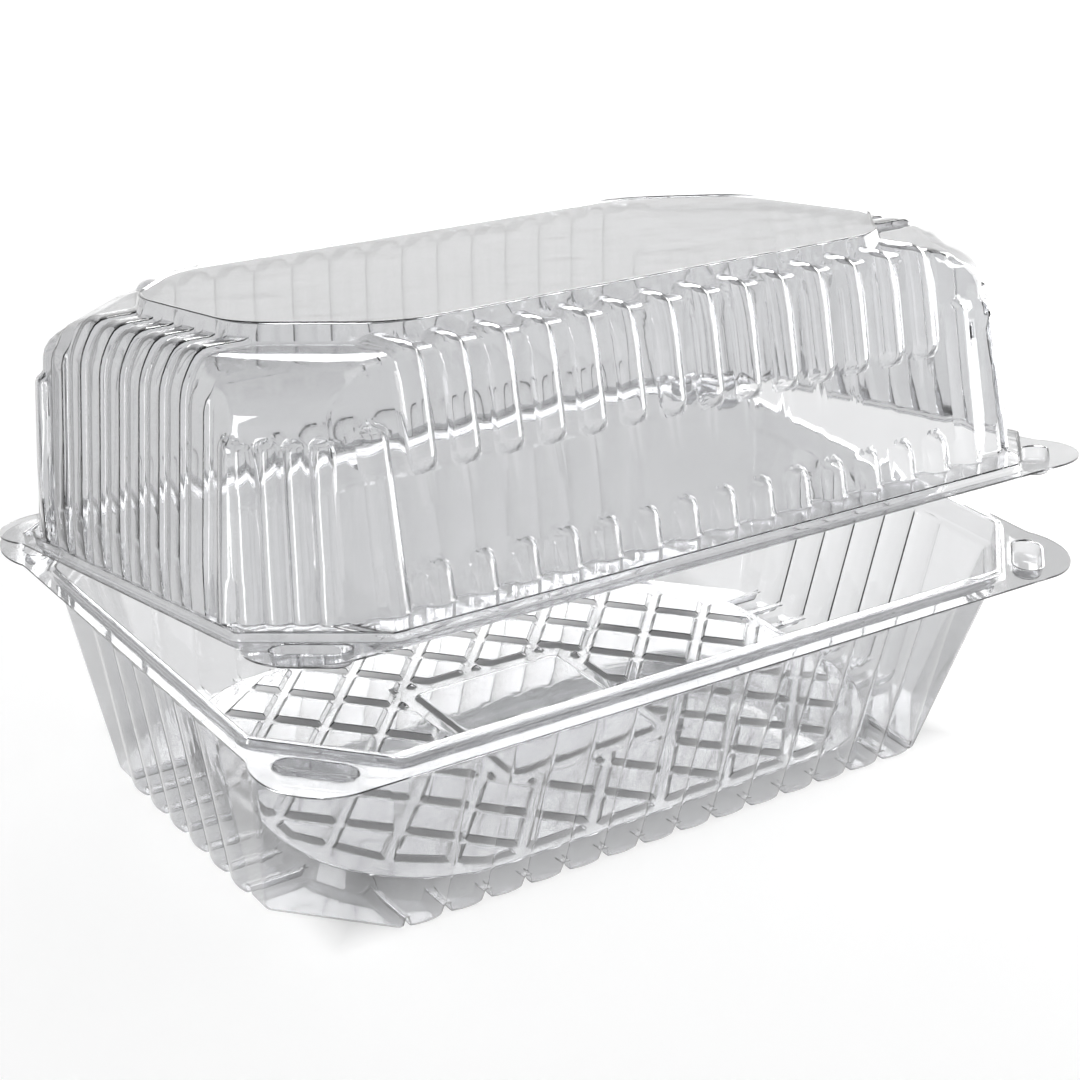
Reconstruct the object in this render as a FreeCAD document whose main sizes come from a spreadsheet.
import FreeCAD, Part
import math
import os
import Sketcher
from FreeCAD import Placement, Rotation, Vector

# Clear hinged clamshell pack for bread, pressed from one sheet of plastic film.
#
# The tray is a shallow octagonal tub with scalloped walls, a raised quilted floor and a seal
# bead round its mouth.  The lid is a deeper cover with ribbed walls and a raised window panel.
# Both are open shells of one gauge that meet at a living hinge along the back of their flanges.
#
# Frame: X runs along the hinge, Y from the front to the hinge, Z up from the table.  The tray's
# foot stands on Z = 0 and its centre is at X = Y = 0.

doc = FreeCAD.newDocument("HingedPack")

# ---------------------------------------------------------------- driving dimensions (mm, deg)
SIZES = (
    ("gauge", 0.6),                 # thickness of the film
    ("pack_length", 238.4),         # over the flanges, along the hinge
    ("pack_width", 158.4),          # over the flanges, front to hinge
    ("tray_depth", 53.8),           # table to the top of the tray's flange
    ("end_flange", 2.9),            # flat flange outside the seal bead, at the ends
    ("side_flange", 4.7),           # the same along the front and back
    ("end_bead", 2.3),              # width of the seal bead at the ends
    ("side_bead", 4.0),             # the same along the front and back
    ("bead_rise", 1.5),             # the bead stands above the flange
    ("bead_leg", 25.0),             # corner cut of the bead
    ("mouth_leg", 22.0),            # corner cut of the tray's mouth
    ("mouth_band", 5.5),            # plain band of wall under the bead
    ("draft_in", 9.6),              # the walls lean in by this much from mouth to foot
    ("foot_leg", 22.0),             # corner cut of the foot
    ("flute_depth", 1.2),           # scallops stand out from the tray's walls
    ("side_pitch", 11.45),          # scallops and ribs along the front and back
    ("tray_end_pitch", 10.2),       # scallops on the tray's ends
    ("quilt_length", 179.4),        # raised floor panel
    ("quilt_width", 113.0),
    ("quilt_corner", 40.0),
    ("quilt_rise", 5.5),            # grooves of the panel above the table
    ("pad_pitch", 15.0),            # diagonal grid of pads
    ("pad_groove", 2.4),
    ("pad_rise", 1.0),
    ("pad_bevel", 1.0),
    ("label_length", 48.4),         # plain patch in the middle of the quilting
    ("label_width", 49.0),
    ("rung_width", 3.2),            # ribs across the foot channel
    ("rung_rise", 3.0),
    ("ear_radius", 16.0),           # rounded flange corners
    ("ear_reach", 1.7),             # the corners stand past the ends of the flange
    ("snap_length", 18.5),          # slot-shaped snap sockets in the tray's corners
    ("snap_width", 7.4),
    ("snap_depth", 3.2),
    ("snap_clearance", 0.5),        # round the lid's snap studs
    ("stud_depth", 2.6),
    ("snap_inset", 12.7),           # snap centre from the corner's two edges
    ("hinge_lift", 1.0),            # hinge line above the tray's flange
    ("hinge_gap", 0.25),            # tray and lid stay this far apart at the hinge line
    ("hinge_lip", 0.8),
    ("lid_open", 10.4),             # angle of the lid as the pack stands
    ("channel_rise", 2.7),          # the lid's seal channel fits over the bead
    ("channel_gap", 1.0),           # from the bead to the channel's wall
    ("end_ledge", 2.5),             # top of the channel at the ends
    ("side_ledge", 11.5),           # and along the front and back
    ("lid_leg", 17.3),              # corner cut at the foot of the lid's walls
    ("lid_wall_leg", 14.3),         # and at the top of the walls
    ("lid_shoulder_leg", 25.0),
    ("lid_wall_rise", 50.0),        # flange to the top of the walls
    ("lid_wall_in", 5.4),           # the lid's walls lean in by this much
    ("shoulder_rise", 57.0),        # flange to the flat shoulder
    ("end_bevel", 4.4),
    ("side_bevel", 1.2),
    ("panel_rise", 4.8),            # window panel above the shoulder
    ("panel_slope", 2.0),
    ("end_shoulder", 8.4),          # shoulder width at the ends
    ("side_shoulder", 6.0),         # and along the front and back
    ("panel_leg", 28.0),
    ("rib_radius", 3.5),            # round ribs of the lid's long walls
    ("rib_proud", 1.6),
    ("rib_foot", 31.0),             # flange to the lower ends of the hanging ribs
    ("bullet_top", 11.5),           # flange to the tops of the short ribs
    ("long_bullet_top", 43.0),
    ("lid_end_pitch", 9.9),         # straps on the lid's ends
    ("strap_width", 7.0),
    ("strap_proud", 1.2),
    ("corner_rib_radius", 2.6),
    ("corner_rib_proud", 0.9),
    ("corner_rib_pitch", 5.9),
    ("corner_rib_top", 42.0),
)
sheet = doc.addObject("Spreadsheet::Sheet", "Sizes")
for row, (alias, number) in enumerate(SIZES, start=1):
    sheet.set(f"A{row}", alias)
    sheet.set(f"B{row}", str(number))
    sheet.setAlias(f"B{row}", alias)
doc.recompute()

# Every size below is a formula over the sheet, so that features and code share one wording.
SKIN = "Sizes.gauge"
END, SIDE = "Sizes.pack_length / 2", "Sizes.pack_width / 2"
BEAD_X, BEAD_Y = f"{END} - Sizes.end_flange", f"{SIDE} - Sizes.side_flange"
MOUTH_X, MOUTH_Y = f"{BEAD_X} - Sizes.end_bead", f"{BEAD_Y} - Sizes.side_bead"
TOP_X, TOP_Y = f"{MOUTH_X} - Sizes.flute_depth", f"{MOUTH_Y} - Sizes.flute_depth"
FOOT_X, FOOT_Y = f"{TOP_X} - Sizes.draft_in", f"{TOP_Y} - Sizes.draft_in"
BAND_Z = "Sizes.tray_depth - Sizes.mouth_band"
RIM_Z = "Sizes.tray_depth"
BEAD_Z = "Sizes.tray_depth + Sizes.bead_rise"
HINGE_Z = "Sizes.tray_depth + Sizes.hinge_lift"
STEP_X, STEP_Y = (f"{edge} + Sizes.channel_gap + {SKIN}" for edge in (BEAD_X, BEAD_Y))
STEP_Z = f"{HINGE_Z} + Sizes.channel_rise"
LID_X, LID_Y = f"{STEP_X} - Sizes.end_ledge", f"{STEP_Y} - Sizes.side_ledge"
WALL_X, WALL_Y = f"{LID_X} - Sizes.lid_wall_in", f"{LID_Y} - Sizes.lid_wall_in"
WALL_Z = f"{HINGE_Z} + Sizes.lid_wall_rise"
BROW_X, BROW_Y = f"{WALL_X} - Sizes.end_bevel", f"{WALL_Y} - Sizes.side_bevel"
BROW_Z = f"{HINGE_Z} + Sizes.shoulder_rise"
PANEL_X, PANEL_Y = f"{BROW_X} - Sizes.end_shoulder", f"{BROW_Y} - Sizes.side_shoulder"
CROWN_X, CROWN_Y = f"{PANEL_X} - Sizes.panel_slope", f"{PANEL_Y} - Sizes.panel_slope"
CROWN_Z = f"{BROW_Z} + Sizes.panel_rise"
OVERLAP = 0.3                       # solids that join reach this far into each other
CLEAR = 5.0                         # cutting solids reach this far past what they open


def size(formula):
    """The number that a formula over the sheet gives now."""
    return float(sheet.evalExpression(str(formula)))


# ---------------------------------------------------------------------------- shape helpers
def octagon(name, half_x, half_y, leg, level):
    """A sketch of a rectangle with its corners cut at 45 degrees, at a height."""
    sketch = doc.addObject("Sketcher::SketchObject", name)
    x, y, cut = size(half_x), size(half_y), size(leg)
    corners = [(x, cut - y), (x, y - cut), (x - cut, y), (cut - x, y),
               (-x, y - cut), (-x, cut - y), (cut - x, -y), (x - cut, -y)]
    for start, end in zip(corners, corners[1:] + corners[:1]):
        sketch.addGeometry(Part.LineSegment(Vector(*start, 0), Vector(*end, 0)), False)
    for side in range(8):
        sketch.addConstraint(Sketcher.Constraint("Coincident", side, 2, (side + 1) % 8, 1))
    x_axis, y_axis = -1, -2
    for line, mirror, axis in ((1, 0, x_axis), (2, 7, x_axis), (2, 3, y_axis), (1, 4, y_axis),
                               (3, 6, x_axis), (4, 5, x_axis)):
        sketch.addConstraint(Sketcher.Constraint("Symmetric", line, 1, mirror, 1, axis))
    named = (("reach_x", Sketcher.Constraint("DistanceX", -1, 1, 1, 1, x), half_x),
             ("reach_y", Sketcher.Constraint("DistanceY", -1, 1, 2, 1, y), half_y),
             ("cut_x", Sketcher.Constraint("DistanceX", 2, 1, 1, 1, cut), leg),
             ("cut_y", Sketcher.Constraint("DistanceY", 1, 1, 2, 1, cut), leg))
    for title, constraint, formula in named:
        index = sketch.addConstraint(constraint)
        sketch.renameConstraint(index, title)
        sketch.setExpression(f"Constraints.{title}", formula)
    sketch.setExpression("Placement.Base.z", level)
    return sketch


def frustum(name, low, high):
    """A solid between two octagons; each is half length, half width, corner cut and level."""
    solid = doc.addObject("Part::Loft", name)
    solid.Sections = [octagon(f"{name}_low", *low), octagon(f"{name}_high", *high)]
    solid.Solid = True
    solid.Ruled = True
    return solid


def fused(name, pieces):
    joined = doc.addObject("Part::MultiFuse", name)
    joined.Shapes = pieces
    return joined


def less(name, base, tool):
    rest = doc.addObject("Part::Cut", name)
    rest.Base = base
    rest.Tool = tool
    return rest


def block(name, half_x, half_y, low, height):
    """A box centred on the Z axis."""
    box = doc.addObject("Part::Box", name)
    box.setExpression("Length", f"2 * ({half_x})")
    box.setExpression("Width", f"2 * ({half_y})")
    box.setExpression("Height", height)
    box.setExpression("Placement.Base.x", f"-({half_x})")
    box.setExpression("Placement.Base.y", f"-({half_y})")
    box.setExpression("Placement.Base.z", low)
    return box


def disc(name, x, y, radius, low, height):
    cylinder = doc.addObject("Part::Cylinder", name)
    cylinder.setExpression("Radius", radius)
    cylinder.setExpression("Height", height)
    cylinder.setExpression("Placement.Base.x", x)
    cylinder.setExpression("Placement.Base.y", y)
    cylinder.setExpression("Placement.Base.z", low)
    return cylinder


def formed(name, solids):
    """A document object for a row of small solids that no primitive or pattern gives."""
    row = doc.addObject("Part::Feature", name)
    row.Shape = solids[0].multiFuse(solids[1:]) if len(solids) > 1 else solids[0]
    return row


def turned(solid, angle):
    """A copy of a solid, turned about the Z axis."""
    return solid.transformed(Placement(Vector(), Rotation(Vector(0, 0, 1), angle)).toMatrix())


def bar(radius, points):
    """A round bar along straight runs, with ball corners and a ball at its first point."""
    solids = [Part.makeSphere(radius, point) for point in points[:-1]]
    for start, end in zip(points, points[1:]):
        solids.append(Part.makeCylinder(radius, (end - start).Length, start, end - start))
    return solids[0].multiFuse(solids[1:])


def slot(length, width, low, high, x, y, angle):
    """An upright round-ended slot block at a place in plan."""
    reach = (length - width) / 2
    corners = [Vector(-reach, -width / 2), Vector(reach, -width / 2),
               Vector(reach, width / 2), Vector(-reach, width / 2)]
    edges = [Part.makeLine(corners[0], corners[1]),
             Part.Arc(corners[1], Vector(length / 2, 0), corners[2]).toShape(),
             Part.makeLine(corners[2], corners[3]),
             Part.Arc(corners[3], Vector(-length / 2, 0), corners[0]).toShape()]
    solid = Part.Face(Part.Wire(edges)).extrude(Vector(0, 0, high - low))
    place = Placement(Vector(x, y, low), Rotation(Vector(0, 0, 1), angle))
    return solid.transformed(place.toMatrix())


def rounded(half_x, half_y, radius, level):
    """A rectangle with round corners, as a closed wire."""
    edges = []
    for quarter, (x, y) in enumerate(((1, 1), (-1, 1), (-1, -1), (1, -1))):
        centre = Vector(x * (half_x - radius), y * (half_y - radius), level)
        arc = [centre + radius * Vector(math.cos(turn), math.sin(turn), 0)
               for turn in (quarter * math.pi / 2 + step * math.pi / 4 for step in range(3))]
        if edges:
            edges.append(Part.makeLine(edges[-1].Vertexes[-1].Point, arc[0]))
        edges.append(Part.Arc(*arc).toShape())
    edges.append(Part.makeLine(edges[-1].Vertexes[-1].Point, edges[0].Vertexes[0].Point))
    return Part.Wire(edges)


def plateau(half_x, half_y, radius, low, high, slope):
    """A rounded block whose sides run out by the slope towards its base."""
    base = rounded(half_x + slope, half_y + slope, radius + slope, low)
    top = rounded(half_x, half_y, radius, high)
    return Part.makeLoft([base, top], True, True)


# ------------------------------------------------------------------------------------- tray
def cusps(run, pitch):
    """Places of the cusps of a centred row of scallops that fits a straight run."""
    count = int(size(run) / pitch)
    return [pitch * step for step in range(-count, count + 1)]


SIDE_RUN, END_RUN = f"{FOOT_X} - Sizes.foot_leg", f"{FOOT_Y} - Sizes.foot_leg"
SIDE_CUSPS = cusps(SIDE_RUN, size("Sizes.side_pitch"))
END_CUSPS = cusps(END_RUN, size("Sizes.tray_end_pitch"))


def scallops(places, foot, top, low):
    """One wall's row of scallops, leaning with the wall, for the wall that faces +Y."""
    rise = size(BAND_Z) + OVERLAP - low
    base, crest = OVERLAP / 2, size("Sizes.flute_depth")
    edges = []
    for start, end in zip(places, places[1:]):
        ends = [Vector(place, base, 0) for place in (start, end)]
        edges.append(Part.Arc(ends[0], Vector((start + end) / 2, crest, 0), ends[1]).toShape())
    corners = [Vector(places[-1], base, 0), Vector(places[-1], -CLEAR, 0),
               Vector(places[0], -CLEAR, 0), Vector(places[0], base, 0)]
    edges += [Part.makeLine(start, end) for start, end in zip(corners, corners[1:])]
    row = Part.Face(Part.Wire(edges)).extrude(Vector(0, 0, rise + 4 * CLEAR))
    lean_angle = math.degrees(math.atan2(top - foot, rise))
    leaning = Rotation(Vector(-1, 0, 0), lean_angle)
    start = Vector(0, foot, low) - leaning.multVec(Vector(0, 0, 2 * CLEAR))
    row = row.transformed(Placement(start, leaning).toMatrix())
    slab = Part.makeBox(4 * places[-1], top, rise, Vector(-2 * places[-1], foot - 2 * CLEAR, low))
    return row.common(slab)


def tub(name, grow, low, high):
    """The tray's walls as one solid: to the outside with the film's gauge, or the hollow."""
    skin = size(grow)
    core = frustum(f"{name}_core",
                   (f"{FOOT_X} + {grow}", f"{FOOT_Y} + {grow}", "Sizes.foot_leg", low),
                   (f"{TOP_X} + {grow}", f"{TOP_Y} + {grow}", "Sizes.mouth_leg",
                    f"{BAND_Z} + {OVERLAP}"))
    band = frustum(f"{name}_band",
                   (f"{MOUTH_X} + {grow}", f"{MOUTH_Y} + {grow}", "Sizes.mouth_leg", BAND_Z),
                   (f"{MOUTH_X} + {grow}", f"{MOUTH_Y} + {grow}", "Sizes.mouth_leg", high))
    side = scallops(SIDE_CUSPS, size(FOOT_Y) + skin, size(TOP_Y) + skin, size(low))
    end = scallops(END_CUSPS, size(FOOT_X) + skin, size(TOP_X) + skin, size(low))
    rows = [formed(f"{name}_scallops_{angle}", [turned(row, angle)])
            for row, angle in ((side, 0), (end, 90), (side, 180), (end, 270))]
    return fused(name, [core, band] + rows)


def floor_form(name, skin, low):
    """The raised floor: its quilted panel and the ribs across the foot channel.

    With the film's gauge this is the face that carries the bread, without it the underside.
    """
    thick = size(skin)
    gauge = size(SKIN)
    half_x, half_y = size("Sizes.quilt_length") / 2, size("Sizes.quilt_width") / 2
    corner, rise = size("Sizes.quilt_corner"), size("Sizes.quilt_rise")
    level = rise - gauge + thick
    slope = 0.3 * (level - low)
    inset = thick - gauge
    panel = plateau(half_x + inset, half_y + inset, corner + inset, low, level, slope)

    pitch, bevel = size("Sizes.pad_pitch"), size("Sizes.pad_bevel")
    raised = size("Sizes.pad_rise")
    pad_half = (pitch - size("Sizes.pad_groove")) / 2 + inset
    reach = int(half_x / pitch) + 2
    margin = size("Sizes.pad_groove") - inset
    label_x, label_y = size("Sizes.label_length") / 2, size("Sizes.label_width") / 2
    zone = plateau(half_x - margin, half_y - margin, corner - margin,
                   level - 1, level + raised + 1, 0)
    patch_zone = Part.makeBox(2 * (label_x + margin), 2 * (label_y + margin), raised + 2,
                              Vector(-label_x - margin, -label_y - margin, level - 1))
    pads = []
    for column in range(-reach, reach + 1):
        for row_number in range(-reach, reach + 1):
            x = (column - row_number) * pitch * math.sqrt(0.5)
            y = (column + row_number) * pitch * math.sqrt(0.5)
            if abs(x) < half_x + pitch / 2 and abs(y) < half_y + pitch / 2:
                pads.append(pad(x, y, pad_half, bevel, level - OVERLAP, level + raised))
    quilting = Part.makeCompound(pads).common(zone).cut(patch_zone)
    patch = plateau(label_x + inset - bevel, label_y + inset - bevel, 2 * bevel,
                    level - OVERLAP, level + raised, bevel)
    return fused(name, [formed(f"{name}_panel", [panel]), formed(f"{name}_patch", [patch]),
                        formed(f"{name}_rungs", rungs(inset, low, size("Sizes.rung_rise") + inset)),
                        formed_set(f"{name}_quilting", quilting)])


def pad(x, y, half, bevel, low, high):
    """One quilting pad: a low square pyramid with its top cut off, standing on a corner."""
    wires = []
    for reach, level in ((half, low), (half - bevel, high)):
        reach *= math.sqrt(2)
        corners = [Vector(x + reach, y, level), Vector(x, y + reach, level),
                   Vector(x - reach, y, level), Vector(x, y - reach, level)]
        wires.append(Part.makePolygon(corners + corners[:1]))
    return Part.makeLoft(wires, True, True)


def rungs(inset, low, high):
    """Short ribs from the quilted panel to each cusp of the walls."""
    width = size("Sizes.rung_width") + 2 * inset
    solids = []
    for places, inner, wall, angles in (
            (SIDE_CUSPS, size("Sizes.quilt_width") / 2, size(FOOT_Y), (0, 180)),
            (END_CUSPS, size("Sizes.quilt_length") / 2, size(FOOT_X), (90, 270))):
        end = wall + 2 * OVERLAP + 2 * inset
        start = inner - size("Sizes.quilt_corner")
        for place in places:
            rung = Part.makeBox(width, end - start, high - low,
                                Vector(place - width / 2, start, low))
            solids += [turned(rung, angle) for angle in angles]
    return solids


def formed_set(name, compound):
    """A document object for solids that stay apart from each other."""
    row = doc.addObject("Part::Feature", name)
    row.Shape = compound
    return row


def flange_plate(name, half_y, low):
    """The flat flange with its round ears, as a full plate."""
    round_x = f"{END} + Sizes.ear_reach - Sizes.ear_radius"
    round_y = f"{half_y} - Sizes.ear_radius"
    pieces = [block(f"{name}_long", END, round_y, low, SKIN),
              block(f"{name}_wide", round_x, half_y, low, SKIN)]
    for number, (x, y) in enumerate(((1, 1), (-1, 1), (-1, -1), (1, -1))):
        pieces.append(disc(f"{name}_ear_{number}", f"{x} * ({round_x})", f"{y} * ({round_y})",
                           "Sizes.ear_radius", low, SKIN))
    return fused(name, pieces)


def snap_slots(name, shrink, low, high):
    """The four snap slots, one in each corner, along the corner's cut."""
    inset = size("Sizes.snap_inset")
    x, y = size(END) + size("Sizes.ear_reach") - inset, size(SIDE) - inset
    length, width = (size(f"Sizes.snap_{way}") - 2 * shrink for way in ("length", "width"))
    return formed_set(name, Part.makeCompound(
        [slot(length, width, low, high, side_x * x, side_y * y, -45 * side_x * side_y)
         for side_x in (-1, 1) for side_y in (-1, 1)]))


gauge = size(SKIN)
rim = size(RIM_Z)
tub_outside = tub("tub_outside", SKIN, "0", RIM_Z)
tub_hollow = tub("tub_hollow", "0", SKIN, f"{BEAD_Z} + {CLEAR}")
floor_top = floor_form("floor_top", SKIN, -OVERLAP)
floor_under = floor_form("floor_under", "0", -CLEAR)
bead = frustum("bead", (BEAD_X, BEAD_Y, "Sizes.bead_leg", f"{RIM_Z} - {SKIN}"),
               (BEAD_X, BEAD_Y, "Sizes.bead_leg", BEAD_Z))
bead_core = frustum("bead_core", *((f"{BEAD_X} - {SKIN}", f"{BEAD_Y} - {SKIN}",
                                    "Sizes.bead_leg", level)
                                   for level in (f"{RIM_Z} - {CLEAR}", f"{BEAD_Z} - {SKIN}")))
tub_rim = frustum("tub_rim", *((f"{MOUTH_X} + {SKIN}", f"{MOUTH_Y} + {SKIN}",
                                "Sizes.mouth_leg", level)
                               for level in (f"{RIM_Z} - 2 * {CLEAR}", f"{BEAD_Z} + {CLEAR}")))
tray_plate = flange_plate("tray_plate", SIDE, f"{RIM_Z} - {SKIN}")
socket_outside = snap_slots("socket_outside", -gauge, rim - size("Sizes.snap_depth") - gauge, rim)
socket_hollow = snap_slots("socket_hollow", 0, rim - size("Sizes.snap_depth"), rim + CLEAR)
hinge_lip = doc.addObject("Part::Box", "hinge_lip")
hinge_half = f"({END} + Sizes.ear_reach - Sizes.ear_radius)"
hinge_lip.setExpression("Length", f"2 * {hinge_half}")
hinge_lip.setExpression("Width", "Sizes.hinge_lip")
hinge_lip.setExpression("Height", f"Sizes.hinge_lift + {SKIN} - Sizes.hinge_gap")
hinge_lip.setExpression("Placement.Base.x", f"-{hinge_half}")
hinge_lip.setExpression("Placement.Base.y", f"{SIDE} - Sizes.hinge_gap - Sizes.hinge_lip")
hinge_lip.setExpression("Placement.Base.z", f"{RIM_Z} - {SKIN}")
tray_outside = fused("tray_outside", [tub_outside, bead, tray_plate, socket_outside, hinge_lip])
tray_inside = less("tray_inside", tub_hollow, floor_top)
bead_hollow = less("bead_hollow", bead_core, tub_rim)
tray_spaces = fused("tray_spaces", [tray_inside, bead_hollow, floor_under, socket_hollow])
tray = less("tray", tray_outside, tray_spaces)

# -------------------------------------------------------------------------------------- lid
# The lid is shaped shut, level over the tray, and swung open about the hinge line at the end.
RIB_COUNT = int((size(BROW_X) - size("Sizes.lid_shoulder_leg")) / size("Sizes.side_pitch"))
STRAP_COUNT = int((size(WALL_Y) - size("Sizes.lid_wall_leg")) / size("Sizes.lid_end_pitch"))


def centres(count, pitch):
    """Places of an even number of ribs, the same on both sides of the middle."""
    return [pitch * (step + 0.5) for step in range(-count, count)]


def lean(foot, level):
    """How far out a lid wall stands at a level, from how far out its foot stands."""
    share = (level - size(STEP_Z)) / (size(WALL_Z) - size(STEP_Z))
    return foot - share * size("Sizes.lid_wall_in")


def side_ribs(shrink, low):
    """Hanging ribs from the shoulder, short and long round ribs from the foot, for +Y."""
    pitch, hinge = size("Sizes.side_pitch"), size(HINGE_Z)
    radius = size("Sizes.rib_radius")
    depth = radius - size("Sizes.rib_proud")
    foot = size(LID_Y)
    brow = size(BROW_Z) + size("Sizes.strap_proud") - radius
    panel = size(PANEL_Y) - 1

    def on_wall(x, level):
        return Vector(x, lean(foot, level) - depth, level)

    solids = []
    for x in centres(RIB_COUNT, pitch):
        solids.append(bar(radius - shrink, [on_wall(x, hinge + size("Sizes.rib_foot") + radius),
                                            on_wall(x, brow), Vector(x, panel, brow)]))
        solids.append(bar(radius - shrink, [on_wall(x, hinge + size("Sizes.bullet_top") - radius),
                                            on_wall(x, low)]))
    for x in (-(RIB_COUNT + 0.5) * pitch, (RIB_COUNT + 0.5) * pitch):
        top = hinge + size("Sizes.long_bullet_top") - radius
        solids.append(bar(radius - shrink, [on_wall(x, top), on_wall(x, low)]))
    return solids


def corner_ribs(shrink, low):
    """Four slender round ribs on one corner facet, for the corner at +X +Y."""
    pitch = size("Sizes.corner_rib_pitch")
    radius = size("Sizes.corner_rib_radius")
    top = size(HINGE_Z) + size("Sizes.corner_rib_top") - radius
    share = (top - size(STEP_Z)) / (size(WALL_Z) - size(STEP_Z))
    leg = size("Sizes.lid_leg") + share * (size("Sizes.lid_wall_leg") - size("Sizes.lid_leg"))
    depth = (radius - size("Sizes.corner_rib_proud")) * math.sqrt(0.5)
    ends = []
    for level, cut in ((top, leg), (low, size("Sizes.lid_leg"))):
        ends.append(Vector(lean(size(LID_X), level) - cut / 2 - depth,
                           lean(size(LID_Y), level) - cut / 2 - depth, level))
    along = Vector(math.sqrt(0.5), -math.sqrt(0.5), 0)
    return [bar(radius - shrink, [end + along * place for end in ends])
            for place in centres(2, pitch)]


def end_straps(shrink, low):
    """Flat-topped ribs up one end and over its shoulder, and a round rib beside them, for +X."""
    pitch, width = size("Sizes.lid_end_pitch"), size("Sizes.strap_width") - 2 * shrink
    proud = size("Sizes.strap_proud") - shrink
    wall_top, brow = size(WALL_Z), size(BROW_Z)
    shoulder = size(BROW_Y) - size("Sizes.lid_shoulder_leg")
    inside = size(PANEL_X) - CLEAR
    solids = []
    for y in centres(STRAP_COUNT, pitch):
        outline = [(inside, low), (lean(size(LID_X), low) + proud, low),
                   (size(WALL_X) + proud, wall_top)]
        if abs(y) + width / 2 < shoulder:
            outline += [(size(BROW_X) + proud / 2, brow + proud), (inside, brow + proud)]
        else:
            outline += [(inside, wall_top)]
        points = [Vector(x, y - width / 2, z) for x, z in outline]
        face = Part.Face(Part.makePolygon(points + points[:1]))
        solids.append(face.extrude(Vector(0, width, 0)))
    radius = size("Sizes.corner_rib_radius")
    depth = radius - size("Sizes.corner_rib_proud")
    for y in (-(STRAP_COUNT + 0.5) * pitch, (STRAP_COUNT + 0.5) * pitch):
        ends = [Vector(lean(size(LID_X), level) - depth, y, level)
                for level in (size(HINGE_Z) + size("Sizes.long_bullet_top") - radius, low)]
        solids.append(bar(radius - shrink, ends))
    return solids


def mirrored(solid):
    """A copy on the other side of the YZ plane."""
    return solid.mirror(Vector(), Vector(1, 0, 0))


def cover(name, shrink, low):
    """The lid's walls, shoulder and window panel as one solid, or the hollow inside them."""
    skin = size(shrink)
    wall_top = (f"{WALL_X} - {shrink}", f"{WALL_Y} - {shrink}", "Sizes.lid_wall_leg", WALL_Z)
    walls = frustum(f"{name}_walls",
                    (f"{LID_X} - {shrink}", f"{LID_Y} - {shrink}", "Sizes.lid_leg", low),
                    wall_top)
    brow = frustum(f"{name}_brow", wall_top,
                   (f"{BROW_X} - {shrink}", f"{BROW_Y} - {shrink}", "Sizes.lid_shoulder_leg",
                    f"{BROW_Z} - {shrink}"))
    panel = frustum(f"{name}_panel",
                    (f"{PANEL_X} - {shrink}", f"{PANEL_Y} - {shrink}", "Sizes.panel_leg",
                     f"{BROW_Z} - {shrink} - {OVERLAP}"),
                    (f"{CROWN_X} - {shrink}", f"{CROWN_Y} - {shrink}", "Sizes.panel_leg",
                     f"{CROWN_Z} - {shrink}"))
    level = size(low)
    ribs = []
    for solid in side_ribs(skin, level):
        ribs += [solid, turned(solid, 180)]
    for solid in end_straps(skin, level):
        ribs += [solid, turned(solid, 180)]
    for solid in corner_ribs(skin, level):
        ribs += [solid, mirrored(solid), turned(solid, 180), turned(mirrored(solid), 180)]
    return fused(name, [walls, brow, panel]
                 + [formed_set(f"{name}_rib_{number}", rib) for number, rib in enumerate(ribs)])


hinge = size(HINGE_Z)
channel = frustum("channel", (STEP_X, STEP_Y, "Sizes.bead_leg", HINGE_Z),
                  (STEP_X, STEP_Y, "Sizes.bead_leg", STEP_Z))
channel_hollow = frustum("channel_hollow", *((f"{STEP_X} - {SKIN}", f"{STEP_Y} - {SKIN}",
                                              "Sizes.bead_leg", level)
                                             for level in (f"{HINGE_Z} - {CLEAR}",
                                                           f"{STEP_Z} - {SKIN}")))
cover_outside = cover("cover_outside", "0", f"{STEP_Z} - {OVERLAP}")
cover_hollow = cover("cover_hollow", SKIN, f"{STEP_Z} - {SKIN} - {OVERLAP}")
lid_plate = flange_plate("lid_plate", f"{SIDE} - Sizes.hinge_gap", HINGE_Z)
stud_outside = snap_slots("stud_outside", size("Sizes.snap_clearance"),
                          hinge - size("Sizes.stud_depth"), hinge + gauge)
stud_hollow = snap_slots("stud_hollow", size("Sizes.snap_clearance") + gauge,
                         hinge - size("Sizes.stud_depth") + gauge, hinge + CLEAR)
lid_outside = fused("lid_outside", [cover_outside, channel, lid_plate, stud_outside])
lid_spaces = fused("lid_spaces", [cover_hollow, channel_hollow, stud_hollow])
lid = less("lid", lid_outside, lid_spaces)
hinge_line = Vector(0, size(SIDE), hinge)
swing = Rotation(Vector(-1, 0, 0), size("Sizes.lid_open"))
lid.Placement = Placement(Vector(), swing, hinge_line)

# ------------------------------------------------------------------------- build and write
doc.recompute()
for item in doc.Objects:
    if "Invalid" in item.State or "Error" in item.State:
        raise RuntimeError(f"{item.Label} did not build: {item.State}")
os.makedirs("parts", exist_ok=True)
for node in (tray, lid):
    if node.Shape.isNull() or not node.Shape.isValid() or len(node.Shape.Solids) != 1:
        raise RuntimeError(f"{node.Label} is not one sound solid")
    node.Shape.exportStep(f"parts/{node.Label}.step")
    box = node.Shape.BoundBox
    print(f"{node.Label}: {node.Shape.Volume / 1000:.2f} cm3,"
          f" X {box.XMin:.2f} to {box.XMax:.2f}, Y {box.YMin:.2f} to {box.YMax:.2f},"
          f" Z {box.ZMin:.2f} to {box.ZMax:.2f}")
